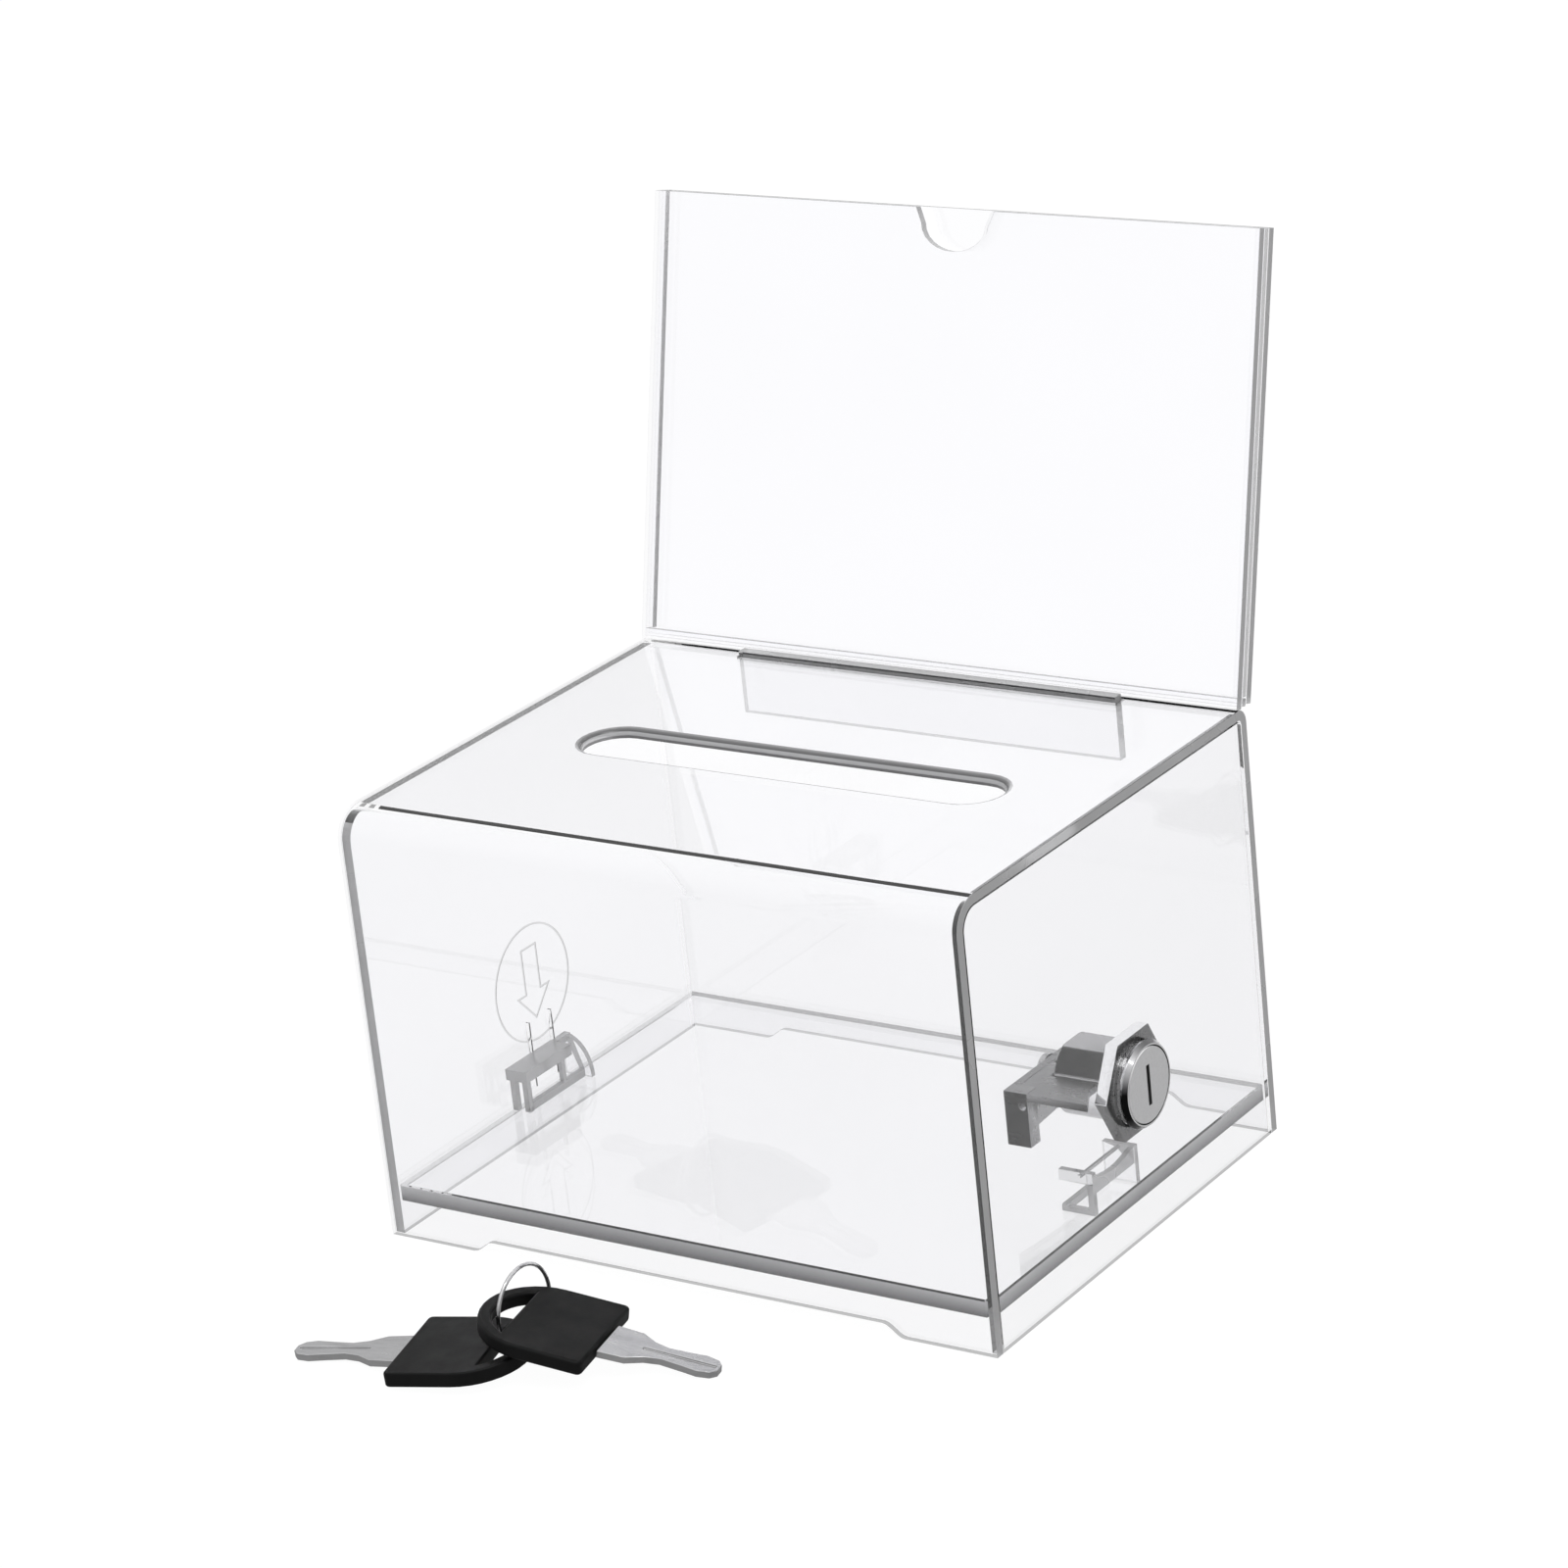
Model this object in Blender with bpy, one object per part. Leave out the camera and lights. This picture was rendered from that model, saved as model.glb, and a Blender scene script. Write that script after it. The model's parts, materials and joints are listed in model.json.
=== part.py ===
"""Clear tabletop donation box with a lock, a plug-in sign holder and two keys on a ring.

Blender 4.5, metres, +Z up.  Each physical piece is one object.  The empty "box_centre" stands on the
table under the middle of the box, and every piece is its child, so all lengths below are measured from
the middle of the box's footprint: +X to the lock side, +Y to the back, +Z up.  The world origin is the
bottom centre of everything together: box, lock, sign holder and keys.
"""
import math

import bmesh
import bpy
from mathutils import Matrix, Vector

MM = 0.001
GAP = 0.3 * MM                      # clearance between pieces that touch or are glued

# Box
BOX_WIDTH = 160.0 * MM
BOX_DEPTH = 121.4 * MM
BOX_HEIGHT = 101.9 * MM
SHEET = 2.3 * MM                    # acrylic sheet of the box
FRONT_BEND = 7.5 * MM               # outer radius of the bend between front and top
BACK_BEND = 3.4 * MM                # outer radius of the bend between top and back
HALF_W = BOX_WIDTH / 2
HALF_D = BOX_DEPTH / 2
INNER_X = HALF_W - SHEET
INNER_Y = HALF_D - SHEET
PLATE_UNDER = BOX_HEIGHT - SHEET    # underside of the top plate

# Money slot in the top plate
SLOT_LENGTH = 108.6 * MM
SLOT_WIDTH = 15.6 * MM
SLOT_X = 1.4 * MM
SLOT_Y = -2.7 * MM
SLOT_RIM = 1.5 * MM                 # radius of the rounded upper edge around the slot
SLOT_RIM_STEPS = 4
CUT_SPILL = 2.0 * MM                # how far cutters reach past the surfaces they cut

# Foot cut-outs along the bottom of the front and back walls
FOOT_CUT_HEIGHT = 2.8 * MM
FOOT_CUT_HALF = 57.0 * MM
FOOT_CUT_SLOPE = 5.5 * MM

# Floor plate
FLOOR_LOW = 8.0 * MM
FLOOR_THICK = 4.2 * MM
FLOOR_TOP = FLOOR_LOW + FLOOR_THICK
FLOOR_PLAY = 0.3 * MM

# Press mark and spring slits in the left panel
MARK_Y = -0.5 * MM
MARK_Z = 37.9 * MM
MARK_RADIUS = 13.9 * MM
GROOVE_WIDE = 0.45 * MM
GROOVE_DEEP = 0.25 * MM
SLIT_HALF_GAP = 4.2 * MM
SLIT_WIDE = 0.4 * MM
SLIT_LOW = 13.5 * MM
SLIT_HIGH = 29.5 * MM

# Sign holder: two panes on spacer strips, leaning back
SIGN_LEAN = math.radians(13.94)
SIGN_WIDTH = 160.0 * MM
SIGN_LENGTH = 105.0 * MM
SIGN_FRONT_Y = 56.9 * MM
PANE = 2.0 * MM
SPACER_THICK = 1.6 * MM
SIDE_STRIP = 2.1 * MM
BOTTOM_STRIP = 1.8 * MM
NOTCH_X = 2.0 * MM
NOTCH_HALF = 8.4 * MM
NOTCH_DEEP = 9.5 * MM
TAB_X = 0.4 * MM
TAB_HALF = 50.6 * MM
TAB_FRONT = 54.0 * MM
TAB_THICK = 2.5 * MM
TAB_LOW = 86.4 * MM
TAB_LIP = 1.2 * MM                  # how far the tab stands above the top plate
TAB_PLAY = 0.35 * MM

# Lock, its axis along X through the right panel
LOCK_Y = 4.9 * MM
LOCK_Z = 34.9 * MM
LOCK_FACE_X = 81.8 * MM
BARREL_R = 9.0 * MM
BARREL_END_X = 61.6 * MM
BARREL_FLAT = 8.0 * MM              # from the axis to the flats on the top and bottom of the barrel
HEAD_BASE_R = 9.9 * MM
HEAD_FACE_R = 9.15 * MM
PLUG_R = 5.5 * MM
PLUG_STUB_R = 2.4 * MM
PLUG_HEAD_R = 8.65 * MM
PLUG_HEAD_THICK = 0.9 * MM
PLUG_PLAY = 0.15 * MM
NUT_ACROSS = 22.8 * MM
NUT_THICK = 3.0 * MM
KEYWAY_TALL = 9.4 * MM
KEYWAY_WIDE = 1.3 * MM
WAFER_COUNT = 4
WAFER_FIRST_X = 66.0 * MM
WAFER_PITCH = 2.6 * MM
WAFER_THICK = 0.7 * MM
WAFER_HALF_WIDE = 2.0 * MM
WAFER_HALF_TALL = 4.9 * MM
SCREW_R = 1.3 * MM
SCREW_LENGTH = 4.5 * MM
CAM_THICK = 1.8 * MM
CAM_FACE_X = 57.8 * MM              # face of the cam plate towards the barrel
CAM_BACK_X = CAM_FACE_X - CAM_THICK
PLUG_END_X = CAM_BACK_X - 0.2 * MM
CAM_FRONT_Y = -15.0 * MM
CAM_TOP_Z = 38.1 * MM
CAM_LOW_Z = 25.4 * MM
CAM_LEG_WIDE = 5.8 * MM
CAM_LEG_DEEP = 3.9 * MM
CAM_HUB_R = 8.6 * MM
CAM_ARM_X = 73.2 * MM               # end of the arm beside the barrel
CAM_TIP_X = 76.9 * MM               # end of the arm's front edge, clear of the nut
CAM_ARM_Y = -4.5 * MM
CAM_ARM_SLANT = 7.0 * MM

# Keys on a ring, lying in front of the box
KEY_BLADE = 26.0 * MM
KEY_HEAD_LENGTH = 28.5 * MM
KEY_HEAD_WIDTH = 27.0 * MM
KEY_HEAD_THICK = 3.4 * MM
KEY_BLADE_THICK = 1.6 * MM
KEY_RIM = 3.0 * MM
KEY_HOLE_HALF_ANGLE = 60            # degrees either side of the head's middle
RING_R = 9.1 * MM
RING_WIRE = 0.45 * MM
LEFT_KEY_TIP = Vector((-62.4, -117.0, -0.85)) * MM
LEFT_KEY_TURN = math.radians(15.0)
LEFT_KEY_TILT = math.radians(3.5)
RIGHT_KEY_TIP = Vector((28.9, -89.4, -0.85)) * MM
RIGHT_KEY_TURN = math.radians(192.0)
RIGHT_KEY_TILT = math.radians(10.4)
RING_CENTRE = Vector((-17.0, -94.3, 9.6)) * MM

# Bottom centre of everything together, seen from the middle of the box
WORLD_SHIFT = Vector((-0.9, 17.43, 0.0)) * MM


def clear_scene():
    for old in list(bpy.data.objects):
        bpy.data.objects.remove(old, do_unlink=True)


def make_material(name, colour, roughness, metallic=0.0, alpha=1.0, transmission=0.0):
    material = bpy.data.materials.new(name)
    material.use_nodes = True
    shader = material.node_tree.nodes["Principled BSDF"]
    shader.inputs["Base Color"].default_value = (*colour, 1.0)
    shader.inputs["Roughness"].default_value = roughness
    shader.inputs["Metallic"].default_value = metallic
    shader.inputs["Alpha"].default_value = alpha
    shader.inputs["Transmission Weight"].default_value = transmission
    shader.inputs["IOR"].default_value = 1.49
    material.diffuse_color = (*colour, alpha)
    return material


def materials():
    return {
        "acrylic": make_material("clear_acrylic", (0.95, 0.96, 0.97), 0.03, alpha=0.35, transmission=1.0),
        "clip": make_material("clear_clip", (0.88, 0.89, 0.91), 0.12, alpha=0.5, transmission=0.8),
        "chrome": make_material("lock_chrome", (0.72, 0.72, 0.75), 0.18, metallic=1.0),
        "steel": make_material("key_steel", (0.66, 0.66, 0.67), 0.28, metallic=1.0),
        "brass": make_material("wafer_brass", (0.78, 0.62, 0.32), 0.35, metallic=1.0),
        "black": make_material("black_plastic", (0.012, 0.012, 0.013), 0.35),
    }


def add_object(name, bm, material, parent, smooth=False):
    """Turn a bmesh into a named object under the given parent."""
    bmesh.ops.recalc_face_normals(bm, faces=bm.faces)
    mesh = bpy.data.meshes.new(name)
    bm.to_mesh(mesh)
    bm.free()
    if smooth:
        mesh.shade_smooth()
        mesh.set_sharp_from_angle(angle=math.radians(35))
    piece = bpy.data.objects.new(name, mesh)
    bpy.context.scene.collection.objects.link(piece)
    if material:
        mesh.materials.append(material)
    piece.parent = parent
    return piece


def add_empty(name, location, parent=None):
    empty = bpy.data.objects.new(name, None)
    bpy.context.scene.collection.objects.link(empty)
    empty.location = location
    empty.parent = parent
    return empty


def place(axis, across, up, along):
    """A point from outline coordinates: (y, z) for axis x, (x, z) for axis y, (x, y) for axis z."""
    if axis == "x":
        return Vector((along, across, up))
    if axis == "y":
        return Vector((across, along, up))
    return Vector((across, up, along))


def prism(outline, axis, low, high):
    """A closed outline extruded along an axis from low to high."""
    bm = bmesh.new()
    verts = [bm.verts.new(place(axis, a, b, low)) for a, b in outline]
    face = bm.faces.new(verts)
    grown = bmesh.ops.extrude_face_region(bm, geom=[face])
    moved = [part for part in grown["geom"] if isinstance(part, bmesh.types.BMVert)]
    bmesh.ops.translate(bm, verts=moved, vec=place(axis, 0.0, 0.0, high - low))
    return bm


def block(low, high):
    """A box between two corners."""
    outline = [(low[0], low[1]), (high[0], low[1]), (high[0], high[1]), (low[0], high[1])]
    return prism(outline, "z", low[2], high[2])


def arc(centre, radius, start, end, steps):
    """Points on an arc, angles in degrees."""
    points = []
    for step in range(steps + 1):
        angle = math.radians(start + (end - start) * step / steps)
        points.append((centre[0] + radius * math.cos(angle), centre[1] + radius * math.sin(angle)))
    return points


def turned(profile, steps):
    """A closed (x, radius) profile spun a full turn about the X axis."""
    bm = bmesh.new()
    verts = [bm.verts.new((x, radius, 0.0)) for x, radius in profile]
    edges = [bm.edges.new((verts[i], verts[(i + 1) % len(verts)])) for i in range(len(verts))]
    bmesh.ops.spin(bm, geom=verts + edges, cent=(0, 0, 0), axis=(1, 0, 0), angle=math.tau, steps=steps)
    bmesh.ops.remove_doubles(bm, verts=bm.verts, dist=1e-6)
    bmesh.ops.dissolve_degenerate(bm, edges=bm.edges, dist=1e-6)
    return bm


def boolean(target, operand, operation):
    """Cut with, or join to, a hidden operand."""
    operand.hide_render = True
    operand.display_type = "WIRE"
    modifier = target.modifiers.new(operand.name, "BOOLEAN")
    modifier.operation = operation
    modifier.solver = "EXACT"
    modifier.object = operand


def cut(target, bm, name):
    boolean(target, add_object(name, bm, None, target.parent), "DIFFERENCE")


def join(target, bm, name):
    boolean(target, add_object(name, bm, None, target.parent), "UNION")


def wall_path(inset):
    """The (y, z) line of the bent sheet from front foot to back foot, moved in by inset."""
    front = -HALF_D + inset
    back = HALF_D - inset
    top = BOX_HEIGHT - inset
    front_r = max(FRONT_BEND - inset, 0.3 * MM)
    back_r = max(BACK_BEND - inset, 0.3 * MM)
    front_centre = (front + front_r, top - front_r)
    back_centre = (back - back_r, top - back_r)
    path = [(front, 0.0)]
    path += arc(front_centre, front_r, 180, 90, 10)
    path += arc(back_centre, back_r, 90, 0, 6)
    path.append((back, 0.0))
    return path


def stadium(centre_x, centre_y, half_length, radius, steps=12):
    right = arc((centre_x + half_length - radius, centre_y), radius, -90, 90, steps)
    left = arc((centre_x - half_length + radius, centre_y), radius, 90, 270, steps)
    return right + left


def slot_cutter():
    """The money slot's hole with a rounded upper edge, as one lofted cutter."""
    levels = [(PLATE_UNDER - CUT_SPILL, 0.0)]
    for step in range(SLOT_RIM_STEPS):
        angle = math.radians(90 * step / SLOT_RIM_STEPS)
        rise = BOX_HEIGHT - SLOT_RIM * (1 - math.sin(angle))
        levels.append((rise, SLOT_RIM * (1 - math.cos(angle))))
    below_top = BOX_HEIGHT - levels[-1][0]
    to_rim = SLOT_RIM - levels[-1][1]
    levels.append((BOX_HEIGHT + below_top, SLOT_RIM + to_rim))
    bm = bmesh.new()
    rings = []
    for height, grow in levels:
        outline = stadium(SLOT_X, SLOT_Y, SLOT_LENGTH / 2 + grow, SLOT_WIDTH / 2 + grow)
        rings.append([bm.verts.new((x, y, height)) for x, y in outline])
    for lower, upper in zip(rings, rings[1:]):
        for i in range(len(lower)):
            j = (i + 1) % len(lower)
            bm.faces.new((lower[i], lower[j], upper[j], upper[i]))
    bm.faces.new(rings[0])
    bm.faces.new(rings[-1])
    return bm


def foot_cut_outline():
    """The shallow recess under the front and back walls, with sloped, eased ends."""
    outline = [(-FOOT_CUT_HALF - 1 * MM, -1 * MM)]
    for side in (-1, 1):
        ease = []
        for step in range(7):
            part = step / 6
            along = FOOT_CUT_HALF - FOOT_CUT_SLOPE * part
            rise = FOOT_CUT_HEIGHT * (0.5 - 0.5 * math.cos(math.pi * part))
            ease.append((side * along, rise))
        outline += ease if side < 0 else ease[::-1]
    outline.append((FOOT_CUT_HALF + 1 * MM, -1 * MM))
    return outline


def make_shell(parent, finish):
    """Front, top and back: one sheet bent twice."""
    outline = wall_path(0.0) + wall_path(SHEET)[::-1]
    shell = add_object("box_shell", prism(outline, "x", -HALF_W, HALF_W), finish, parent)
    cut(shell, slot_cutter(), "money_slot_cutter")
    tab_hole_low = (TAB_X - TAB_HALF - TAB_PLAY, TAB_FRONT - TAB_PLAY, PLATE_UNDER - 2 * MM)
    tab_hole_high = (TAB_X + TAB_HALF + TAB_PLAY, TAB_FRONT + TAB_THICK + TAB_PLAY, BOX_HEIGHT + 2 * MM)
    cut(shell, block(tab_hole_low, tab_hole_high), "tab_hole_cutter")
    cut(shell, prism(foot_cut_outline(), "y", -HALF_D - 2 * MM, HALF_D + 2 * MM), "foot_cutter")


def ring_groove(x_low, x_high):
    """A flat ring, as a cutter for the circle of the press mark."""
    profile = [
        (x_low, MARK_RADIUS - GROOVE_WIDE / 2),
        (x_high, MARK_RADIUS - GROOVE_WIDE / 2),
        (x_high, MARK_RADIUS + GROOVE_WIDE / 2),
        (x_low, MARK_RADIUS + GROOVE_WIDE / 2),
    ]
    bm = turned(profile, 48)
    bmesh.ops.translate(bm, verts=bm.verts, vec=(0, MARK_Y, MARK_Z))
    return bm


def arrow_outline(inset):
    """A downward arrow (y, z) around the mark's centre, shrunk by inset."""
    shaft = 3.0 * MM - inset
    head = 6.4 * MM - 2.2 * inset
    top = MARK_Z + 9.0 * MM - inset
    neck = MARK_Z - 2.0 * MM - inset
    tip = MARK_Z - 9.0 * MM + 1.4 * inset
    right = [(MARK_Y + shaft, top), (MARK_Y + shaft, neck), (MARK_Y + head, neck)]
    left = [(MARK_Y - head, neck), (MARK_Y - shaft, neck), (MARK_Y - shaft, top)]
    return right + [(MARK_Y, tip)] + left


def arrow_groove(x_low, x_high):
    """The arrow's outline as a thin closed band, as a cutter."""
    outer = arrow_outline(0.0)
    inner = arrow_outline(GROOVE_WIDE)
    bm = bmesh.new()
    loops = []
    for outline in (outer, inner):
        for x in (x_low, x_high):
            loops.append([bm.verts.new((x, y, z)) for y, z in outline])
    outer_low, outer_high, inner_low, inner_high = loops
    count = len(outer)
    sides = (
        (outer_low, outer_high),
        (outer_high, inner_high),
        (inner_high, inner_low),
        (inner_low, outer_low),
    )
    for first, second in sides:
        for i in range(count):
            j = (i + 1) % count
            bm.faces.new((first[i], first[j], second[j], second[i]))
    return bm


def make_side_panel(name, side, parent, finish):
    """A flat panel that closes one end of the bent sheet; side is -1 for left, +1 for right."""
    outline = wall_path(SHEET + GAP)
    low, high = sorted((side * HALF_W, side * INNER_X))
    return add_object(name, prism(outline, "x", low, high), finish, parent)


def make_left_panel(parent, finish):
    panel = make_side_panel("left_side_panel", -1, parent, finish)
    outside = -HALF_W - 1 * MM
    groove_floor = -HALF_W + GROOVE_DEEP
    cut(panel, ring_groove(outside, groove_floor), "mark_circle_cutter")
    cut(panel, arrow_groove(outside, groove_floor), "mark_arrow_cutter")
    for side in (-1, 1):
        y = MARK_Y + side * SLIT_HALF_GAP
        slit_low = (-HALF_W - 2 * MM, y - SLIT_WIDE / 2, SLIT_LOW)
        slit_high = (-INNER_X + 2 * MM, y + SLIT_WIDE / 2, SLIT_HIGH)
        slit = block(slit_low, slit_high)
        cut(panel, slit, "spring_slit_cutter_%d" % (side + 2))


def bore(radius, x_low, x_high, steps):
    """A solid cylinder about the X axis."""
    return turned([(x_low, 0.0), (x_high, 0.0), (x_high, radius), (x_low, radius)], steps)


def make_right_panel(parent, finish):
    panel = make_side_panel("right_side_panel", 1, parent, finish)
    hole = bore(BARREL_R + 0.25 * MM, INNER_X - CUT_SPILL, HALF_W + CUT_SPILL, 40)
    bmesh.ops.translate(hole, verts=hole.verts, vec=(0, LOCK_Y, LOCK_Z))
    cut(panel, hole, "lock_hole_cutter")


def make_floor(parent, finish):
    half_x = INNER_X - FLOOR_PLAY
    half_y = INNER_Y - FLOOR_PLAY
    plate = block((-half_x, -half_y, FLOOR_LOW), (half_x, half_y, FLOOR_TOP))
    floor = add_object("base_floor", plate, finish, parent)
    edge = floor.modifiers.new("eased_edge", "BEVEL")
    edge.width = 0.3 * MM
    edge.segments = 1


def clip_block(clip, name, low, high):
    """Add one bar, leg or plate to a clip; corners in mm from the middle of the box's footprint."""
    join(clip, block([value * MM for value in low], [value * MM for value in high]), name)


def make_left_clip(parent, finish):
    """Open bracket that stands on the floor against the left panel, under its spring tongue."""
    wall = (-INNER_X + GAP) / MM
    foot = (FLOOR_TOP + GAP) / MM
    bar_end = wall + 6.0
    reach = wall + 7.6
    front, bar_back, back = -16.0, 1.7, 7.4
    bar_low, top = 19.9, 22.6
    leg = 1.5
    bar = block((wall * MM, front * MM, bar_low * MM), (bar_end * MM, bar_back * MM, top * MM))
    clip = add_object("left_clip", bar, finish, parent)
    clip_block(clip, "left_clip_strip", (wall + 0.1, front + 0.1, top - 1.8), (wall + 1.7, back, top - 0.1))
    arc_r = (reach - wall, top - 0.1 - foot)
    rounded = [(wall * MM, foot * MM)]
    for across, up in arc((0.0, 0.0), 1.0, 0, 90, 10):
        rounded.append(((wall + arc_r[0] * across) * MM, (foot + arc_r[1] * up) * MM))
    join(clip, prism(rounded, "y", (back - leg) * MM, (back - 0.1) * MM), "left_clip_round_end")
    for index, x in enumerate((wall + 0.9, bar_end - leg - 0.1)):
        leg_high = (x + leg, front + leg, bar_low + 0.4)
        clip_block(clip, "left_clip_leg_%d" % index, (x, front + 0.1, foot), leg_high)
    sill_x = bar_end - leg - 0.2
    sill_high = (sill_x + leg, back - 0.4, foot + 1.9)
    clip_block(clip, "left_clip_sill", (sill_x, front + 0.4, foot + 0.1), sill_high)
    clip_block(clip, "left_clip_post", (sill_x + 0.1, -2.0, foot + 1.0), (sill_x + 1.3, -0.8, bar_low + 0.3))


def make_right_clip(parent, finish):
    """Open bracket on the floor against the right panel, which the lock's hook turns down behind."""
    wall = (INNER_X - GAP) / MM
    foot = (FLOOR_TOP + GAP) / MM
    reach = 69.0
    front, back = -16.4, 2.8
    bar_low, top = 19.8, 22.4
    leg = 1.5
    bar = block((reach * MM, front * MM, bar_low * MM), (wall * MM, (front + leg) * MM, top * MM))
    clip = add_object("right_clip", bar, finish, parent)
    near, far, inset = reach + 0.1, wall - 0.1, front + 0.1
    clip_block(clip, "right_clip_leg", (wall - leg, inset, foot), (far, front + leg, bar_low + 0.4))
    clip_block(clip, "right_clip_toe", (near, inset, foot), (far, front + leg, foot + 1.2))
    clip_block(clip, "right_clip_sill", (near, front + 0.2, foot), (reach + leg, back - 0.2, foot + 1.6))
    clip_block(clip, "right_clip_back", (reach + 0.4, back - leg, foot), (wall, back, top - 1.0))
    rib_high = (wall - 3.5, back - 0.3, top - 1.2)
    clip_block(clip, "right_clip_rib", (wall - 4.2, front + 0.3, top - 1.9), rib_high)
    low_y, high_y = front + 0.3, back - 0.3
    saddle = [(low_y, 17.4), (high_y, 17.4), (high_y, 21.2)]
    sag_steps = 8
    for step in range(1, sag_steps):
        part = step / sag_steps
        sag = 21.6 - 1.8 * math.sin(math.pi * part)
        saddle.append((high_y + (low_y - high_y) * part, sag))
    saddle.append((low_y, 22.0))
    saddle = [(y * MM, z * MM) for y, z in saddle]
    join(clip, prism(saddle, "x", (wall - leg) * MM, far * MM), "right_clip_saddle")


def sign_rest(parent):
    """Empty at the sign's front bottom edge; its Z axis runs up the leaning panes."""
    rest = add_empty("sign_rest", (0, SIGN_FRONT_Y, BOX_HEIGHT + GAP), parent)
    rest.rotation_euler = (-SIGN_LEAN, 0, 0)
    return rest


def sign_front_outline():
    """Front pane with a thumb notch in its upper edge."""
    half = SIGN_WIDTH / 2
    radius = NOTCH_DEEP * 0.62
    straight = NOTCH_DEEP - radius
    flare = 1.6 * MM
    notch = [(NOTCH_X + NOTCH_HALF + flare, SIGN_LENGTH), (NOTCH_X + NOTCH_HALF, SIGN_LENGTH - straight)]
    for step in range(1, 12):
        angle = math.pi * step / 12
        across = NOTCH_X + NOTCH_HALF * math.cos(angle)
        notch.append((across, SIGN_LENGTH - straight - radius * math.sin(angle)))
    notch.append((NOTCH_X - NOTCH_HALF, SIGN_LENGTH - straight))
    notch.append((NOTCH_X - NOTCH_HALF - flare, SIGN_LENGTH))
    return [(-half, 0.0), (half, 0.0), (half, SIGN_LENGTH)] + notch + [(-half, SIGN_LENGTH)]


def make_sign(parent, finish):
    rest = sign_rest(parent)
    half = SIGN_WIDTH / 2
    spacer_low = PANE + GAP
    spacer_high = spacer_low + SPACER_THICK
    rear_low = spacer_high + GAP
    rise = rear_low * math.tan(SIGN_LEAN)        # lifts the rear pieces' lower edges clear of the top plate
    add_object("sign_front_pane", prism(sign_front_outline(), "y", 0.0, PANE), finish, rest)
    rear = block((-half, rear_low, rise), (half, rear_low + PANE, SIGN_LENGTH))
    add_object("sign_rear_pane", rear, finish, rest)
    strip_low = spacer_low * math.tan(SIGN_LEAN)
    bottom = block((-half, spacer_low, strip_low), (half, spacer_high, strip_low + BOTTOM_STRIP))
    add_object("sign_bottom_spacer", bottom, finish, rest)
    for name, side in (("sign_left_spacer", -1), ("sign_right_spacer", 1)):
        low, high = sorted((side * half, side * (half - SIDE_STRIP)))
        strip_start = strip_low + BOTTOM_STRIP + GAP
        strip = block((low, spacer_low, strip_start), (high, spacer_high, SIGN_LENGTH))
        add_object(name, strip, finish, rest)
    tab_low = (TAB_X - TAB_HALF, TAB_FRONT, TAB_LOW)
    tab_high = (TAB_X + TAB_HALF, TAB_FRONT + TAB_THICK, BOX_HEIGHT + TAB_LIP)
    add_object("sign_tab", block(tab_low, tab_high), finish, parent)


def make_housing(axis, finish):
    """Head, barrel with two flats, and the bore for the plug."""
    wall = HALF_W + GAP
    recess = LOCK_FACE_X - PLUG_HEAD_THICK - PLUG_PLAY
    bore = PLUG_R + PLUG_PLAY
    profile = [
        (BARREL_END_X, bore),
        (BARREL_END_X, BARREL_R - 0.4 * MM),
        (BARREL_END_X + 0.4 * MM, BARREL_R),
        (wall, BARREL_R),
        (wall, HEAD_BASE_R),
        (wall + 0.5 * MM, HEAD_BASE_R),
        (LOCK_FACE_X, HEAD_FACE_R),
        (LOCK_FACE_X, PLUG_HEAD_R + PLUG_PLAY),
        (recess, PLUG_HEAD_R + PLUG_PLAY),
        (recess, bore),
    ]
    housing = add_object("lock_housing", turned(profile, 48), finish, axis, smooth=True)
    for side in (-1, 1):
        near = side * BARREL_FLAT
        far = side * (BARREL_R + CUT_SPILL)
        low, high = sorted((near, far))
        flat_low = (BARREL_END_X - CUT_SPILL, -BARREL_R - CUT_SPILL, low)
        flat = block(flat_low, (INNER_X - NUT_THICK, BARREL_R + CUT_SPILL, high))
        cut(housing, flat, "barrel_flat_cutter_%d" % (side + 2))


def make_nut(axis, finish):
    across = NUT_ACROSS / 2
    corner = across / math.cos(math.pi / 6)
    outline = [(corner * math.cos(math.pi * k / 3), corner * math.sin(math.pi * k / 3)) for k in range(6)]
    inner = INNER_X - GAP
    nut = add_object("lock_nut", prism(outline, "x", inner - NUT_THICK, inner), finish, axis)
    hole = bore(BARREL_R + 0.2 * MM, inner - NUT_THICK - CUT_SPILL, inner + CUT_SPILL, 40)
    cut(nut, hole, "nut_hole_cutter")


def wafer_places():
    return [WAFER_FIRST_X + WAFER_PITCH * index for index in range(WAFER_COUNT)]


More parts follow.
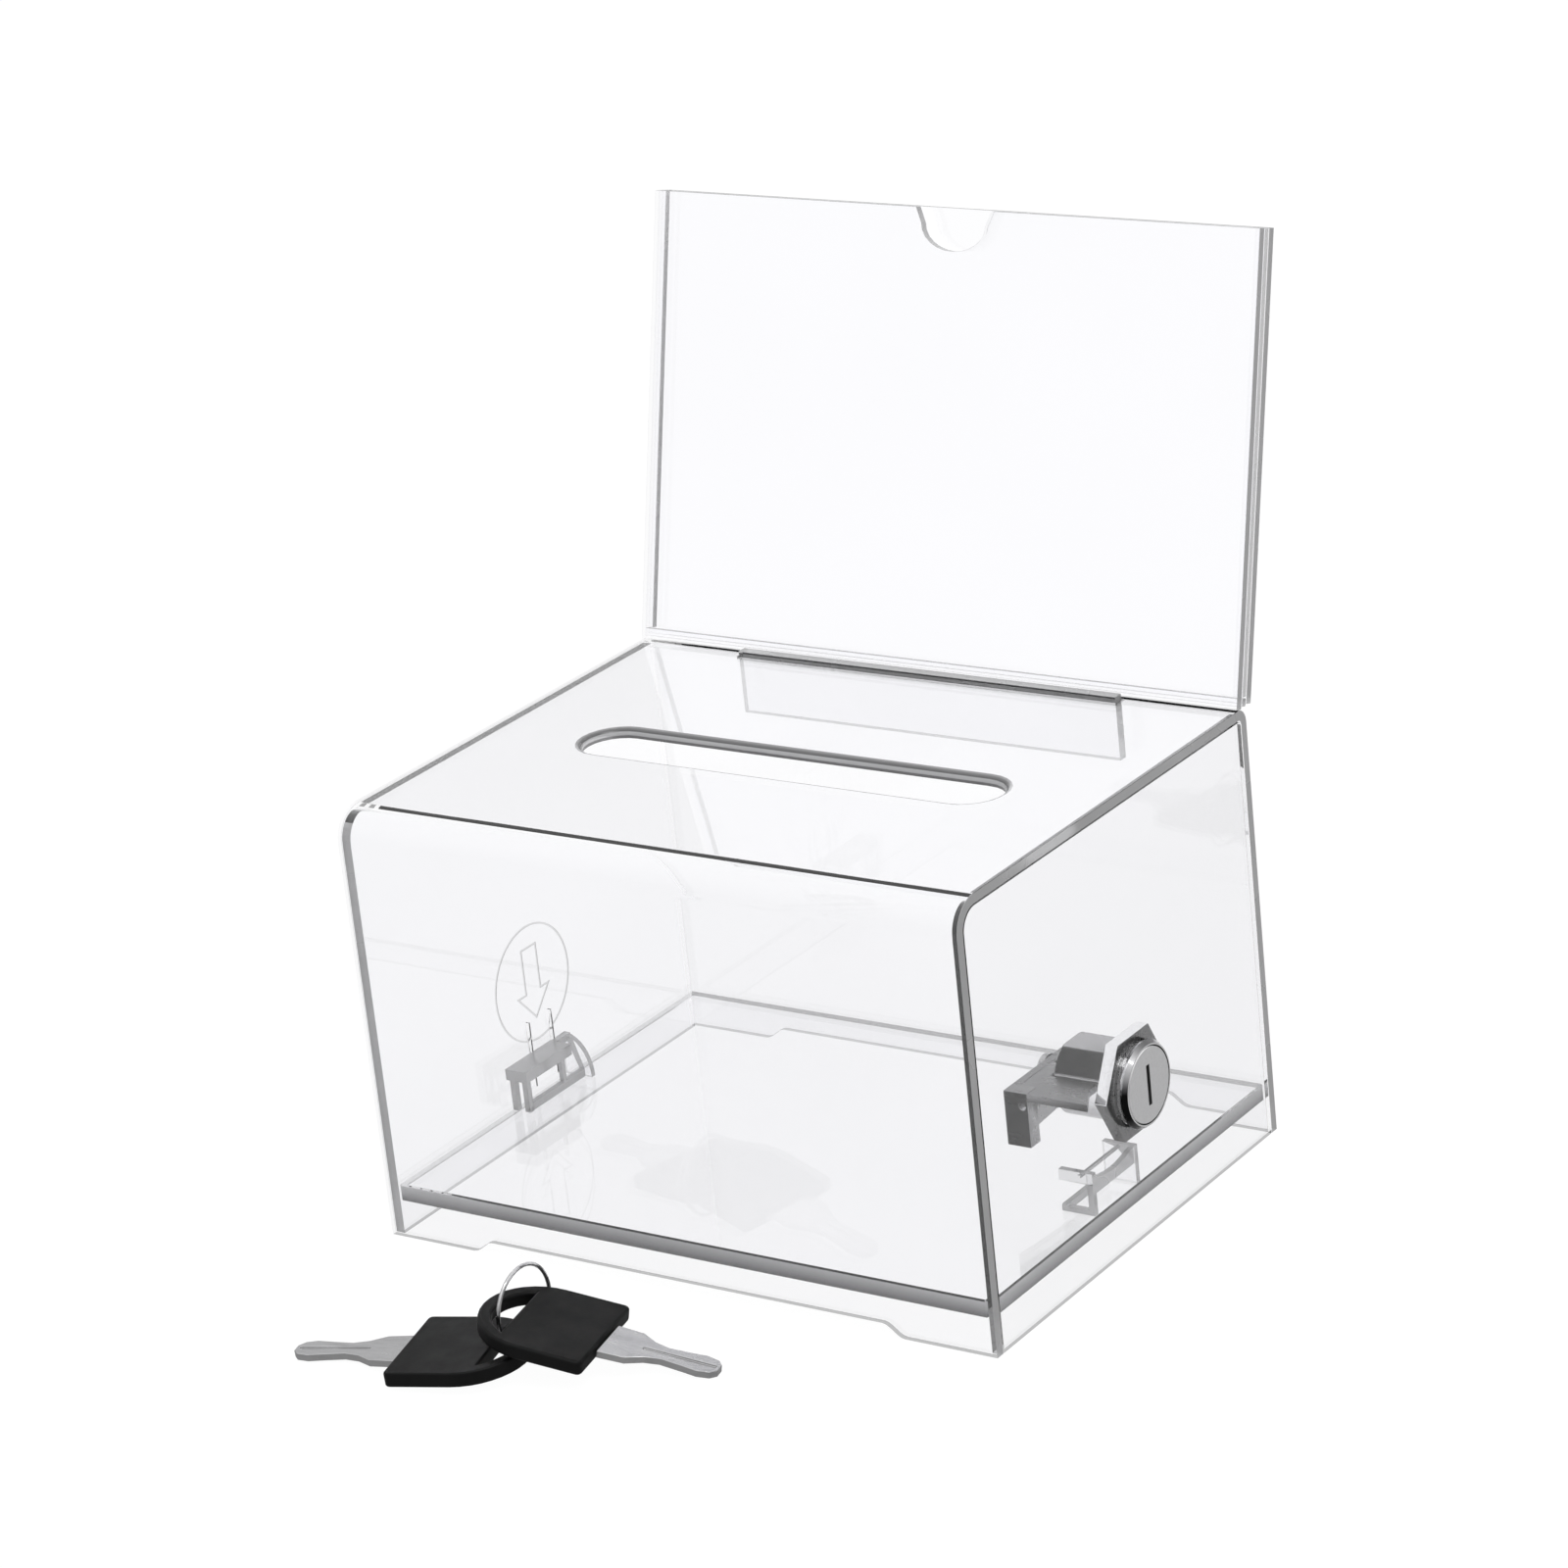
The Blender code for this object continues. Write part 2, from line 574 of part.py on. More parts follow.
def make_plug(axis, finish):
    """Round plug with a wide face, a keyway, wafer slots and a stub that carries the cam."""
    back_of_head = LOCK_FACE_X - PLUG_HEAD_THICK
    collar = BARREL_END_X + GAP
    profile = [
        (PLUG_END_X, 0.0),
        (PLUG_END_X, PLUG_STUB_R),
        (collar, PLUG_STUB_R),
        (collar, PLUG_R),
        (back_of_head, PLUG_R),
        (back_of_head, PLUG_HEAD_R),
        (LOCK_FACE_X - 0.2 * MM, PLUG_HEAD_R),
        (LOCK_FACE_X, PLUG_HEAD_R - 0.2 * MM),
        (LOCK_FACE_X, 0.0),
    ]
    plug = add_object("lock_plug", turned(profile, 40), finish, axis, smooth=True)
    half = KEYWAY_WIDE / 2
    tall = KEYWAY_TALL / 2
    mouth = block((back_of_head - 0.5 * MM, -half, -tall), (LOCK_FACE_X + CUT_SPILL, half, tall))
    cut(plug, mouth, "keyway_mouth_cutter")
    inside_tall = tall - 0.7 * MM
    way_low = (WAFER_FIRST_X - 1.5 * MM, -half + 0.05 * MM, -inside_tall)
    cut(plug, block(way_low, (back_of_head, half - 0.05 * MM, inside_tall)), "keyway_cutter")
    room_wide = WAFER_HALF_WIDE + 0.4 * MM
    room_tall = PLUG_R + CUT_SPILL
    for index, x in enumerate(wafer_places()):
        room_low = (x - 0.2 * MM, -room_wide, -room_tall)
        room = block(room_low, (x + WAFER_THICK + 0.2 * MM, room_wide, room_tall))
        cut(plug, room, "wafer_room_cutter_%d" % index)
    screw_end = PLUG_END_X + SCREW_LENGTH + 0.5 * MM
    cut(plug, bore(SCREW_R + GAP, PLUG_END_X - CUT_SPILL, screw_end, 20), "screw_hole_cutter")


def make_wafers(axis, finish):
    """Flat tumblers that cross the plug; the key passes through their windows."""
    for index, x in enumerate(wafer_places()):
        low = (x, -WAFER_HALF_WIDE, -WAFER_HALF_TALL)
        high = (x + WAFER_THICK, WAFER_HALF_WIDE, WAFER_HALF_TALL)
        wafer = add_object("lock_wafer_%d" % (index + 1), block(low, high), finish, axis)
        window = block((x - CUT_SPILL, -1.1 * MM, -3.2 * MM), (x + CUT_SPILL, 1.1 * MM, 3.2 * MM))
        cut(wafer, window, "wafer_window_cutter_%d" % index)


def make_cam(axis, finish):
    """Flat plate on the plug's stub, with a leg and an arm bent towards the wall."""
    front = CAM_FRONT_Y - LOCK_Y
    top = CAM_TOP_Z - LOCK_Z
    low = CAM_LOW_Z - LOCK_Z
    top_angle = math.degrees(math.asin(top / CAM_HUB_R))
    outline = [(front, top), (front, low)]
    outline += arc((0.0, 0.0), CAM_HUB_R, 255, 360 + top_angle, 14)
    cam = add_object("lock_cam", prism(outline, "x", CAM_BACK_X, CAM_FACE_X), finish, axis)
    leg_low = (CAM_BACK_X + 0.1 * MM, front, low)
    join(cam, block(leg_low, (CAM_BACK_X + CAM_LEG_WIDE, front + CAM_LEG_DEEP, top)), "cam_leg")
    arm_front = front + 0.1 * MM
    arm_back = CAM_ARM_Y - LOCK_Y
    arm = [(CAM_BACK_X + 0.2 * MM, arm_front), (CAM_TIP_X, arm_front), (CAM_ARM_X, front + CAM_ARM_SLANT)]
    beside_barrel = BARREL_END_X - GAP
    root_back = -PLUG_STUB_R - GAP
    arm += [(CAM_ARM_X, arm_back), (beside_barrel, arm_back), (beside_barrel, root_back)]
    arm.append((CAM_BACK_X + 0.2 * MM, root_back))
    join(cam, prism(arm, "z", top - CAM_THICK, top - 0.1 * MM), "cam_arm")
    hub_hole = bore(PLUG_STUB_R + GAP, CAM_BACK_X - CUT_SPILL, CAM_FACE_X + CUT_SPILL, 24)
    cut(cam, hub_hole, "cam_hub_cutter")
    leg_hole = arc((CAM_BACK_X + 4.5 * MM, top - 3.1 * MM), 0.9 * MM, 0, 330, 11)
    leg_hole = prism(leg_hole, "y", front - CUT_SPILL, front + CAM_LEG_DEEP + CUT_SPILL)
    cut(cam, leg_hole, "cam_leg_hole_cutter")


def make_cam_screw(axis, finish):
    """Round-headed screw with a cross slot."""
    head_x = PLUG_END_X - GAP
    head_r = 3.3 * MM
    profile = [
        (head_x - 1.8 * MM, 0.0),
        (head_x - 1.8 * MM, head_r - 0.6 * MM),
        (head_x - 1.2 * MM, head_r),
        (head_x, head_r),
        (head_x, SCREW_R),
        (head_x + SCREW_LENGTH, SCREW_R),
        (head_x + SCREW_LENGTH, 0.0),
    ]
    screw = add_object("cam_screw", turned(profile, 32), finish, axis, smooth=True)
    thin = 0.4 * MM
    wide = 2.0 * MM
    for index, (half_y, half_z) in enumerate(((thin, wide), (wide, thin))):
        slot_low = (head_x - 3 * MM, -half_y, -half_z)
        cut(screw, block(slot_low, (head_x - 0.9 * MM, half_y, half_z)), "screw_slot_cutter_%d" % index)


def make_lock(parent, finish):
    axis = add_empty("lock_axis", (0, LOCK_Y, LOCK_Z), parent)
    make_housing(axis, finish["chrome"])
    make_nut(axis, finish["chrome"])
    make_plug(axis, finish["chrome"])
    make_wafers(axis, finish["brass"])
    make_cam(axis, finish["chrome"])
    make_cam_screw(axis, finish["steel"])


def key_head_outline():
    """Square shoulders at the blade and a round end, (u, v) with u from the blade's tip."""
    radius = KEY_HEAD_WIDTH / 2
    end = KEY_BLADE + KEY_HEAD_LENGTH
    corner = 1.2 * MM
    outline = arc((KEY_BLADE + corner, -radius + corner), corner, 180, 270, 3)
    outline += arc((end - radius, 0.0), radius, -90, 90, 18)
    outline += arc((KEY_BLADE + corner, radius - corner), corner, 90, 180, 3)
    return outline


def key_hole_outline():
    """Half-moon hole inside the round end."""
    radius = KEY_HEAD_WIDTH / 2 - KEY_RIM
    centre = KEY_BLADE + KEY_HEAD_LENGTH - KEY_HEAD_WIDTH / 2
    return arc((centre, 0.0), radius, -KEY_HOLE_HALF_ANGLE, KEY_HOLE_HALF_ANGLE, 16)


def key_blade_outline():
    """Wide root, narrow neck and a slightly swollen round tip, (u, v)."""
    tip = [(0.0, 1.2), (1.2, 2.7), (4.0, 3.4), (8.0, 2.9), (12.5, 2.5)]
    half = tip + [(16.0, 3.4), (19.5, 5.6), (26.0, 6.0)]
    upper = [(u * MM, v * MM) for u, v in half]
    lower = [(u, -v) for u, v in reversed(upper)]
    return lower + upper


def make_key(side, tip, turn, tilt, parent, finish):
    frame = add_empty("key_place_" + side, tip, parent)
    frame.rotation_euler = (0.0, -tilt, turn)
    head = prism(key_head_outline(), "z", 0.0, KEY_HEAD_THICK)
    head = add_object("key_head_" + side, head, finish["black"], frame)
    cut(head, prism(key_hole_outline(), "z", -2 * MM, KEY_HEAD_THICK + 2 * MM), "key_hole_cutter_" + side)
    middle = KEY_HEAD_THICK / 2
    low = middle - KEY_BLADE_THICK / 2
    outline = [(min(u, KEY_BLADE - GAP), v) for u, v in key_blade_outline()]
    blade = prism(outline, "z", low, low + KEY_BLADE_THICK)
    blade = add_object("key_blade_" + side, blade, finish["steel"], frame)
    for index, height in enumerate((low, low + KEY_BLADE_THICK)):
        groove = block((0.8 * MM, -0.55 * MM, height - 0.45 * MM), (17.5 * MM, 0.55 * MM, height + 0.45 * MM))
        cut(blade, groove, "key_groove_cutter_%s_%d" % (side, index))


def make_ring(parent, finish):
    """Wire ring through both key heads, standing in the YZ plane."""
    wire = arc((0.0, RING_R), RING_WIRE, 0, 315, 7)
    bm = turned(wire, 40)
    bmesh.ops.translate(bm, verts=bm.verts, vec=RING_CENTRE)
    add_object("key_ring", bm, finish, parent, smooth=True)


def main():
    clear_scene()
    finish = materials()
    centre = add_empty("box_centre", WORLD_SHIFT)
    make_shell(centre, finish["acrylic"])
    make_left_panel(centre, finish["acrylic"])
    make_right_panel(centre, finish["acrylic"])
    make_floor(centre, finish["acrylic"])
    make_left_clip(centre, finish["clip"])
    make_right_clip(centre, finish["clip"])
    make_sign(centre, finish["acrylic"])
    make_lock(centre, finish)
    make_key("left", LEFT_KEY_TIP, LEFT_KEY_TURN, LEFT_KEY_TILT, centre, finish)
    make_key("right", RIGHT_KEY_TIP, RIGHT_KEY_TURN, RIGHT_KEY_TILT, centre, finish)
    make_ring(centre, finish["steel"])


main()
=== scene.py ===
"""Looks of the clear tabletop donation box: acrylic sheets, cam lock, sign holder and two keys.

Every visible piece is a copy of its CAD node, cleaned, and most are given eased edges and split by face,
the acrylic ones into sheet faces and cut edges, so that each kind of surface gets its own procedural
material.
"""
import json
import math

import bmesh
import bpy
from mathutils import Matrix, Vector


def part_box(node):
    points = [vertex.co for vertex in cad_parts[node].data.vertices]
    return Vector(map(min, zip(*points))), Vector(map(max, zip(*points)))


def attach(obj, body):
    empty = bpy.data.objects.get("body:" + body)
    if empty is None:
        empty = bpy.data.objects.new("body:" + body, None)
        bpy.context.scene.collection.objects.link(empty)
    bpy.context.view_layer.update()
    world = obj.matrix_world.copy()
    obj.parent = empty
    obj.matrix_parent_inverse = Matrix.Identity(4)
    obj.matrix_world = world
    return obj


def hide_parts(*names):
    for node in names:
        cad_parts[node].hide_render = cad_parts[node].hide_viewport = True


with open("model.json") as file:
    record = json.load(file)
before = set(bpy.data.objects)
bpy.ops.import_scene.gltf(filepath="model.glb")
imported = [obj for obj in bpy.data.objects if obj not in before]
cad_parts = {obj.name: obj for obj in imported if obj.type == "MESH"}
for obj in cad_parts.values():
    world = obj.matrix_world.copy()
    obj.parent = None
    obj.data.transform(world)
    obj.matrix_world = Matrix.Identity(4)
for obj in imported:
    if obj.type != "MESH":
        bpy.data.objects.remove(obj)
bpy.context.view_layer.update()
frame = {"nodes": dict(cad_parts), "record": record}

MM = 0.001
SIGN_LEAN = math.radians(13.94)
SIGN_NORMAL = Vector((0.0, math.cos(SIGN_LEAN), -math.sin(SIGN_LEAN)))
X_AXIS = Vector((1, 0, 0))
Y_AXIS = Vector((0, 1, 0))

BODY_OF = {node: body for body, nodes in frame["record"]["behaviour"]["bodies"].items() for node in nodes}


# ---------------------------------------------------------------- materials

NOISE_LOW, NOISE_HIGH = 0.3, 0.7    # where nearly all of a noise's values lie
ACRYLIC_IOR = 1.49
SHEET_WAVE_DEPTH = 0.04 * MM
STREAK_DEPTH = 0.01 * MM
METAL_GRAIN_DEPTH = 0.004 * MM
BAND_GRAIN_DEPTH = 0.003 * MM
MOULD_GRAIN_DEPTH = 0.02 * MM


def new_material(name):
    material = bpy.data.materials.new(name)
    material.use_nodes = True
    return material, material.node_tree, material.node_tree.nodes["Principled BSDF"]


def position(tree, stretch=(1, 1, 1)):
    """Object coordinates in metres, stretched per axis."""
    coords = tree.nodes.new("ShaderNodeTexCoord")
    mapping = tree.nodes.new("ShaderNodeMapping")
    mapping.inputs["Scale"].default_value = stretch
    tree.links.new(coords.outputs["Object"], mapping.inputs["Vector"])
    return mapping.outputs["Vector"]


def noise(tree, scale, detail=2.0, roughness=0.5, stretch=(1, 1, 1)):
    texture = tree.nodes.new("ShaderNodeTexNoise")
    texture.inputs["Scale"].default_value = scale
    texture.inputs["Detail"].default_value = detail
    texture.inputs["Roughness"].default_value = roughness
    tree.links.new(position(tree, stretch), texture.inputs["Vector"])
    return texture.outputs["Fac"]


def spread(tree, value, low, high, start=NOISE_LOW, end=NOISE_HIGH):
    """Maps a value, by default a noise, onto a range."""
    node = tree.nodes.new("ShaderNodeMapRange")
    node.inputs["From Min"].default_value = start
    node.inputs["From Max"].default_value = end
    node.inputs["To Min"].default_value = low
    node.inputs["To Max"].default_value = high
    tree.links.new(value, node.inputs["Value"])
    return node.outputs["Result"]


def blend_colours(tree, value, first, second):
    """Maps a noise value onto the colours between two."""
    ramp = tree.nodes.new("ShaderNodeValToRGB")
    ramp.color_ramp.elements[0].position = NOISE_LOW
    ramp.color_ramp.elements[0].color = (*first, 1)
    ramp.color_ramp.elements[1].position = NOISE_HIGH
    ramp.color_ramp.elements[1].color = (*second, 1)
    tree.links.new(value, ramp.inputs["Fac"])
    return ramp.outputs["Color"]


def bump(tree, value, depth, strength=1.0):
    node = tree.nodes.new("ShaderNodeBump")
    node.inputs["Strength"].default_value = strength
    node.inputs["Distance"].default_value = depth
    tree.links.new(value, node.inputs["Height"])
    return node.outputs["Normal"]


def clear_sheet(name, dark, light):
    """Polished cast acrylic: clear, very slightly grey, with the faint waviness of a heat-bent sheet."""
    material, tree, shader = new_material(name)
    wave = noise(tree, 22.0, 1.0)
    tree.links.new(blend_colours(tree, wave, dark, light), shader.inputs["Base Color"])
    tree.links.new(bump(tree, wave, SHEET_WAVE_DEPTH), shader.inputs["Normal"])
    tree.links.new(spread(tree, noise(tree, 300.0), 0.0, 0.01), shader.inputs["Roughness"])
    shader.inputs["Transmission Weight"].default_value = 1.0
    shader.inputs["IOR"].default_value = ACRYLIC_IOR
    shader.inputs["Specular IOR Level"].default_value = 0.2
    return material


def ramp_of(tree, value, stops):
    """Grey levels at given positions along a 0 to 1 value."""
    ramp = tree.nodes.new("ShaderNodeValToRGB")
    elements = ramp.color_ramp.elements
    elements[0].position = stops[0][0]
    elements[1].position = stops[-1][0]
    for place, level in stops[1:-1]:
        elements.new(place)
    for element, (place, level) in zip(elements, stops):
        element.color = (level, level, level * 1.01, 1)
    tree.links.new(value, ramp.inputs["Fac"])
    return ramp.outputs["Color"]


def height_between(tree, low, high):
    """0 to 1 from one height to another."""
    split = tree.nodes.new("ShaderNodeSeparateXYZ")
    tree.links.new(position(tree), split.inputs["Vector"])
    return spread(tree, split.outputs["Z"], 0.0, 1.0, low, high)


def facing(tree, direction):
    """0 to 1 as a surface turns from away from a direction to straight along it."""
    geometry = tree.nodes.new("ShaderNodeNewGeometry")
    dot = tree.nodes.new("ShaderNodeVectorMath")
    dot.operation = "DOT_PRODUCT"
    tree.links.new(geometry.outputs["Normal"], dot.inputs[0])
    dot.inputs[1].default_value = direction
    return spread(tree, dot.outputs["Value"], 0.0, 1.0, -1.0, 1.0)


def tint(tree, first, second):
    """Two colours multiplied."""
    mix = tree.nodes.new("ShaderNodeMix")
    mix.data_type = "RGBA"
    mix.blend_type = "MULTIPLY"
    mix.inputs["Factor"].default_value = 1.0
    tree.links.new(first, mix.inputs["A"])
    tree.links.new(second, mix.inputs["B"])
    return mix.outputs["Result"]


def cut_edge(name, dark, light, clear, along=(1, 1, 1), heights=None, stops=None, inside=0.97):
    """Polished acrylic edge: painted grey shade with fine streaks outside, standing in for the dark a clear
    edge shows; seen from inside the sheet, a paler see-through tint, also painted shade.
    """
    material, tree, shader = new_material(name)
    streak = noise(tree, 60.0, 2.0, 0.5, along)
    colour = blend_colours(tree, streak, dark, light)
    # painted light and dark bands by height, where given
    if heights:
        colour = tint(tree, colour, ramp_of(tree, height_between(tree, *heights), stops))
    tree.links.new(colour, shader.inputs["Base Color"])
    tree.links.new(spread(tree, streak, 0.2, 0.3), shader.inputs["Roughness"])
    tree.links.new(bump(tree, streak, STREAK_DEPTH), shader.inputs["Normal"])
    shader.inputs["Transmission Weight"].default_value = clear
    shader.inputs["IOR"].default_value = ACRYLIC_IOR
    # see-through tint from inside the sheet: painted shade
    see_through = tree.nodes.new("ShaderNodeBsdfTransparent")
    see_through.inputs["Color"].default_value = (inside, inside, inside, 1)
    geometry = tree.nodes.new("ShaderNodeNewGeometry")
    mix = tree.nodes.new("ShaderNodeMixShader")
    tree.links.new(geometry.outputs["Backfacing"], mix.inputs["Fac"])
    tree.links.new(shader.outputs["BSDF"], mix.inputs[1])
    tree.links.new(see_through.outputs["BSDF"], mix.inputs[2])
    tree.links.new(mix.outputs["Shader"], tree.nodes["Material Output"].inputs["Surface"])
    return material


def metal(name, dark, light, rough_low, rough_high, scale=900.0, stretch=(1, 1, 1), shine=1.0):
    """Metal with a fine grain; a lower shine gives a paler, satin look."""
    material, tree, shader = new_material(name)
    grain = noise(tree, scale, 3.0, 0.6, stretch)
    tree.links.new(blend_colours(tree, grain, dark, light), shader.inputs["Base Color"])
    tree.links.new(spread(tree, grain, rough_low, rough_high), shader.inputs["Roughness"])
    tree.links.new(bump(tree, grain, METAL_GRAIN_DEPTH), shader.inputs["Normal"])
    shader.inputs["Metallic"].default_value = shine
    return material


def painted_reflection_metal(name, direction, stops, rough_low, rough_high):
    """Bright metal with painted reflections: dark and light bands of imagined surroundings, painted by which
    way each face turns, with a fine grain.
    """
    material, tree, shader = new_material(name)
    grain = noise(tree, 500.0, 3.0, 0.6, (0.25, 1, 1))
    # painted reflection bands, by how far a face turns towards a fixed direction
    bands = ramp_of(tree, facing(tree, direction), stops)
    grain_colour = blend_colours(tree, grain, grey(0.93), grey(1.0))
    tree.links.new(tint(tree, bands, grain_colour), shader.inputs["Base Color"])
    tree.links.new(spread(tree, grain, rough_low, rough_high), shader.inputs["Roughness"])
    tree.links.new(bump(tree, grain, BAND_GRAIN_DEPTH), shader.inputs["Normal"])
    shader.inputs["Metallic"].default_value = 1.0
    return material


def moulded_plastic(name, dark, light, rough_low, rough_high):
    """Moulded plastic with a fine spark-eroded grain and slightly worn patches spread by noise."""
    material, tree, shader = new_material(name)
    grain = noise(tree, 2600.0, 2.0)
    wear = noise(tree, 160.0, 4.0, 0.65)
    tree.links.new(blend_colours(tree, wear, dark, light), shader.inputs["Base Color"])
    tree.links.new(spread(tree, wear, rough_low, rough_high), shader.inputs["Roughness"])
    tree.links.new(bump(tree, grain, MOULD_GRAIN_DEPTH, 0.6), shader.inputs["Normal"])
    shader.inputs["Specular IOR Level"].default_value = 0.15
    return material


def grey(value):
    return (value, value, value * 1.01)


FLOOR_HEIGHTS = (8.0 * MM, 12.2 * MM)       # between which painted light and dark bands run along the floor plate's edge
PLATE_HEIGHTS = (99.6 * MM, 101.9 * MM)     # underside and top of the shell's top plate
SHEET_EASE = 0.08 * MM                      # polished-off arris of the acrylic sheets
LARGE_FACE = 300 * MM * MM                  # faces larger than this are part of a flat sheet
MOSTLY = 0.7                                # part of a face's normal that lies along the axis it faces
ALMOST_WHOLLY = 0.9
FOOT_HEIGHT = 5 * MM                        # lower faces than this are feet
HAIR = 0.1 * MM                             # how near to an end plane a face lies on it

# (place, grey level) of painted light and shade, along a height or along the turn of a normal
FLOOR_PAINTED_BANDS = ((0.0, 0.22), (0.2, 0.34), (0.55, 0.72), (0.85, 1.0), (1.0, 0.85))
RIM_PAINTED_BANDS = ((0.0, 0.3), (0.28, 0.35), (0.36, 1.0), (0.64, 1.0), (0.72, 0.22), (0.9, 0.35), (1.0, 0.7))
# painted reflections on the lock barrel and head, by how far a face turns upwards
BARREL_PAINTED_REFLECTIONS = ((0.0, 0.2), (0.3, 0.55), (0.5, 0.95), (0.62, 0.9), (0.7, 0.01), (0.93, 0.015), (1.0, 0.42))
HEAD_PAINTED_REFLECTIONS = ((0.0, 0.2), (0.2, 0.1), (0.3, 0.012), (0.56, 0.012))
HEAD_PAINTED_REFLECTIONS += ((0.68, 0.4), (0.84, 0.6), (0.92, 0.05), (1.0, 0.5))
# painted light and shade on the cam, by which way a face turns
CAM_PAINTED_SHADING = ((0.1, 0.012), (0.34, 0.015), (0.5, 0.22), (0.75, 0.36), (0.9, 0.24))

SHEET = clear_sheet("acrylic_sheet", grey(0.955), grey(0.962))
SIGN_SHEET = clear_sheet("acrylic_sign_sheet", grey(0.982), grey(0.986))
TAB_SHEET = clear_sheet("acrylic_tab_sheet", grey(0.93), grey(0.94))
# Cut edges below: painted grey shade and inside tints set edge by edge; the engraved line's grey is partly
# its frosting, partly painted shade.
EDGE = cut_edge("acrylic_cut_edge", grey(0.58), grey(0.64), 0.3)
SIGN_FOOT = cut_edge("acrylic_sign_foot", grey(0.85), grey(0.9), 0.8)
FOOT = cut_edge("acrylic_foot_edge", grey(0.5), grey(0.6), 0.5, inside=0.55)
FLOOR_GREYS = (grey(0.6), grey(0.66))
# front and right floor edges: painted light and dark bands by height
FLOOR_EDGE = cut_edge("acrylic_floor_edge_painted_bands", *FLOOR_GREYS, 0.1, (0.15, 0.15, 1), FLOOR_HEIGHTS, FLOOR_PAINTED_BANDS)
FLOOR_BACK = cut_edge("acrylic_floor_back_edge", *FLOOR_GREYS, 0.1, inside=0.45)
FLOOR_LEFT = cut_edge("acrylic_floor_left_edge", *FLOOR_GREYS, 0.1, inside=0.8)
# slot rim with painted light and dark bands across the top plate's thickness
RIM = cut_edge("acrylic_slot_rim_painted_bands", grey(0.8), grey(0.9), 0.45, (0.3, 1, 1), PLATE_HEIGHTS, RIM_PAINTED_BANDS)
TAB_SLOT = cut_edge("acrylic_tab_slot", grey(0.58), grey(0.66), 0.4, inside=0.6)
GROOVE = cut_edge("acrylic_engraved_line", grey(0.7), grey(0.78), 0.4, inside=0.72)
CLIP = cut_edge("acrylic_clip", grey(0.4), grey(0.52), 0.5, inside=0.8)
CHROME = metal("lock_chrome", grey(0.86), grey(0.94), 0.10, 0.18)
# barrel and head: chrome with painted reflection bands
BARREL = painted_reflection_metal("lock_barrel_painted_reflections", (0, 0, 1), BARREL_PAINTED_REFLECTIONS, 0.12, 0.2)
HEAD = painted_reflection_metal("lock_head_painted_reflections", (0, 0, 1), HEAD_PAINTED_REFLECTIONS, 0.1, 0.16)
FACE = metal("lock_face_satin", grey(0.72), grey(0.78), 0.36, 0.42, 1400.0, shine=0.35)
# dark metal painted as shade on the nut's inner face and lower flats
NUT_PAINTED_SHADE = metal("lock_nut_painted_shade", grey(0.05), grey(0.09), 0.2, 0.3)
# zinc cam with painted light and shade by facing
CAM = painted_reflection_metal("lock_cam_zinc_painted_shading", (0.5, 0.35, 0.8), CAM_PAINTED_SHADING, 0.24, 0.34)
SCREW = metal("cam_screw_steel", grey(0.42), grey(0.52), 0.2, 0.34)
# near-black painted shadow inside the keyway
KEYWAY_PAINTED_SHADOW = moulded_plastic("keyway_painted_shadow", grey(0.03), grey(0.06), 0.5, 0.7)
NICKEL = metal("key_nickel", grey(0.50), grey(0.60), 0.2, 0.28, 400.0, (0.25, 1, 1))
WIRE = metal("ring_wire", grey(0.58), grey(0.7), 0.14, 0.22)
BRASS = metal("wafer_brass", (0.62, 0.46, 0.2), (0.78, 0.62, 0.32), 0.25, 0.4)
BLACK = moulded_plastic("key_black_plastic", grey(0.004), grey(0.007), 0.4, 0.55)


# ---------------------------------------------------------------- pieces

MERGE_DISTANCE = 0.001 * MM
FLAT_ANGLE = math.radians(0.6)
WALL_ZONE = 20 * MM                     # the money slot is further than this from the shell's front and back
TAB_SLOT_ZONE = (10 * MM, 3.5 * MM)     # the tab slot lies between these distances from the shell's back
MARK_HALF_WIDTH = 25 * MM               # the press mark and its slits lie this near the panel's middle
MARK_TOP_MARGIN = 20 * MM
SLIT_WALL_AREA = 5 * MM * MM            # walls larger than this belong to the spring slits, not to the mark
CLIP_FACE_AREA = 20 * MM * MM


def cleaned_copy(node, flatten=True):
    """A bmesh of the CAD node with doubled corners merged and flat areas as single faces."""
    bm = bmesh.new()
    bm.from_mesh(frame["nodes"][node].data)
    bmesh.ops.remove_doubles(bm, verts=bm.verts, dist=MERGE_DISTANCE)
    if flatten:
        bmesh.ops.dissolve_limit(bm, angle_limit=FLAT_ANGLE, verts=bm.verts, edges=bm.edges)
    return bm


def is_border(edge):
    """True around large flat faces and between materials, so that flat sheets stay optically flat."""
    faces = edge.link_faces
    large = any(face.calc_area() > LARGE_FACE for face in faces)
    return large or len({face.material_index for face in faces}) > 1


def add_piece(node, bm, materials, bevel, segments=2, angle=35, smooth=True):
    """Puts the detailed piece in place of its CAD node, on the same body."""
    mesh = bpy.data.meshes.new(node + "_detail")
    bm.edges.index_update()
    borders = [edge.index for edge in bm.edges if is_border(edge)]
    bm.to_mesh(mesh)
    bm.free()
    for material in materials:
        mesh.materials.append(material)
    if smooth:
        mesh.shade_smooth()
        mesh.set_sharp_from_angle(angle=math.radians(angle))
        for index in borders:
            mesh.edges[index].use_edge_sharp = True
    piece = bpy.data.objects.new(node + "_detail", mesh)
    bpy.context.scene.collection.objects.link(piece)
    if bevel:
        modifier = piece.modifiers.new("eased_edges", "BEVEL")
        modifier.width = bevel
        modifier.segments = segments
        modifier.limit_method = "ANGLE"
        modifier.angle_limit = math.radians(angle)
        modifier.harden_normals = True
    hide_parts(node)
    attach(piece, BODY_OF[node])


